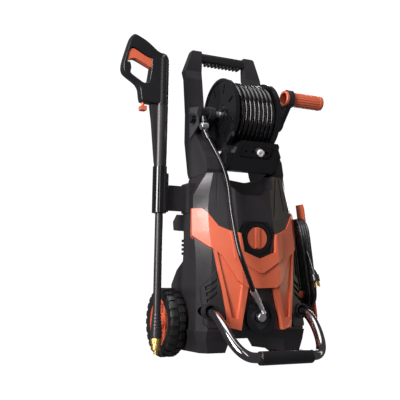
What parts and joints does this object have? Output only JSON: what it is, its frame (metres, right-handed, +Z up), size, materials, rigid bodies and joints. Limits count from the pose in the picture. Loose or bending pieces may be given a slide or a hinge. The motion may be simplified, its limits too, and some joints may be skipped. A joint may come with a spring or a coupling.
{
  "type": "electric pressure washer",
  "caption": "Upright electric pressure washer with hose reel, crank, spray gun and lance in a holster, wheels, stand bar and wound power cord.",
  "frame": {"origin": "on the floor, at the middle of the whole machine's footprint, cords left out", "axes": "+Z up, the front with the knob and the outlet faces -Y, +X is towards the crank"},
  "size_m": [0.5794, 0.4522, 0.889],
  "materials": {
    "body_black": "fine moulded texture, satin",
    "gloss_black": "polished moulded black",
    "orange": "semi-gloss moulded orange",
    "grey_plastic": "satin grey",
    "dark_chrome": "dark plated tube",
    "silver": "bright plated fitting",
    "steel": "turned steel",
    "brass": "turned brass",
    "tyre": "moulded tread",
    "hose_rubber": "glossy hose jacket",
    "cord_rubber": "satin cord jacket",
    "grip_rubber": "soft grip",
    "white_plastic": "white coded nozzle",
    "cast_aluminium": "cast and bead blasted"
  },
  "bodies": {
    "chassis": {"rear_housing": "body_black", "front_cover": "body_black", "base_shell": "body_black", "handle_grip": "grip_rubber", "orange_band": "orange", "leg_trims": "orange", "vent_panels": "body_black", "knob_bezel": "gloss_black", "outlet_collar": "gloss_black", "outlet_fitting": "silver", "stand_bar": "dark_chrome", "stand_grip": "grip_rubber", "bar_rings": "body_black", "wheel_axle": "steel", "reel_bracket_left": "body_black", "reel_bracket_right": "body_black", "bracket_side_plate": "grey_plastic", "swivel_elbow": "gloss_black", "swivel_banjo": "silver", "label_plate": "gloss_black", "nozzle_in_tray": "white_plastic", "holster": "body_black", "cord_hook_lower": "orange", "cord_gland": "cord_rubber", "power_cord_in": "cord_rubber", "power_hank": "cord_rubber", "power_cord_out": "cord_rubber", "plug_body": "cord_rubber", "plug_blades": "brass", "jumper_hose": "hose_rubber", "jumper_crimps": "silver", "motor_can": "steel", "pump_body": "cast_aluminium", "switch_box": "grey_plastic", "water_inlet": "brass", "case_screws": "steel"},
    "reel": {"reel_flange_left": "gloss_black", "reel_flange_right": "gloss_black", "reel_drum": "body_black", "reel_axle": "steel", "hose_coil": "hose_rubber", "hose_connector": "brass", "crank_arm": "body_black"},
    "crank_handle": {"crank_grip": "orange"},
    "wheel_left": {"tyre_left": "tyre", "rim_left": "orange"},
    "wheel_right": {"tyre_right": "tyre", "rim_right": "orange"},
    "pressure_selector": {"selector_knob": "orange"},
    "reel_lock": {"reel_lock_knob": "gloss_black"},
    "cord_hook": {"cord_hook_upper": "orange"},
    "gun": {"gun_body": "body_black", "lance_sleeve": "body_black", "lance_holder": "gloss_black", "lance_tube": "body_black", "spray_tip": "brass"},
    "gun_trigger": {"trigger": "orange"},
    "hose_catch": {"inlet_clip": "orange"},
    "spray_adjuster": {"vario_sleeve": "brass"},
    "rotor": {"motor_rotor": "steel"}
  },
  "joints": [
    {"name": "wheel_left_spin", "type": "hinge", "parent": "chassis", "child": "wheel_left", "pos_m": [-0.12721, 0.1311, 0.095], "axis": [1, 0, 0], "continuous": true},
    {"name": "wheel_right_spin", "type": "hinge", "parent": "chassis", "child": "wheel_right", "pos_m": [0.23378, 0.1311, 0.095], "axis": [1, 0, 0], "continuous": true},
    {"name": "reel_turn", "type": "hinge", "parent": "chassis", "child": "reel", "pos_m": [0.04979, 0.0181, 0.671], "axis": [1, 0, 0], "continuous": true},
    {"name": "crank_grip_spin", "type": "hinge", "parent": "reel", "child": "crank_handle", "pos_m": [0.16728, -0.0459, 0.724], "axis": [1, 0, 0], "continuous": true},
    {"name": "selector_turn", "type": "hinge", "parent": "chassis", "child": "pressure_selector", "pos_m": [0.05328, -0.0679, 0.322], "axis": [0, -1, 0], "range_deg": [0, 90]},
    {"name": "reel_lock_turn", "type": "hinge", "parent": "chassis", "child": "reel_lock", "pos_m": [-0.07672, 0.0661, 0.664], "axis": [-1, 0, 0], "range_deg": [0, 180]},
    {"name": "cord_hook_turn", "type": "hinge", "parent": "chassis", "child": "cord_hook", "pos_m": [0.23428, 0.0151, 0.35], "axis": [0.991, 0, 0.1336], "range_deg": [0, 180]},
    {"name": "gun_lift", "type": "slide", "parent": "chassis", "child": "gun", "axis": [0.0122, 0, 0.9999], "range_m": [0, 0.12]},
    {"name": "trigger_pull", "type": "hinge", "parent": "gun", "child": "gun_trigger", "pos_m": [-0.19738, 0.0751, 0.80532], "axis": [0, 1, 0], "range_deg": [0, 8], "stiffness_Nm_per_rad": 0.6},
    {"name": "hose_catch_slide", "type": "slide", "parent": "gun", "child": "hose_catch", "axis": [0.0122, 0, 0.9999], "range_m": [0, 0.004], "stiffness_N_per_m": 400},
    {"name": "spray_adjust", "type": "hinge", "parent": "gun", "child": "spray_adjuster", "pos_m": [-0.1786, 0.0751, 0.05003], "axis": [0.0122, 0, 0.9999], "range_deg": [0, 90]},
    {"name": "motor_spin", "type": "hinge", "parent": "chassis", "child": "rotor", "pos_m": [0.05328, 0.0461, 0.3], "axis": [0, 0, 1], "continuous": true}
  ]
}
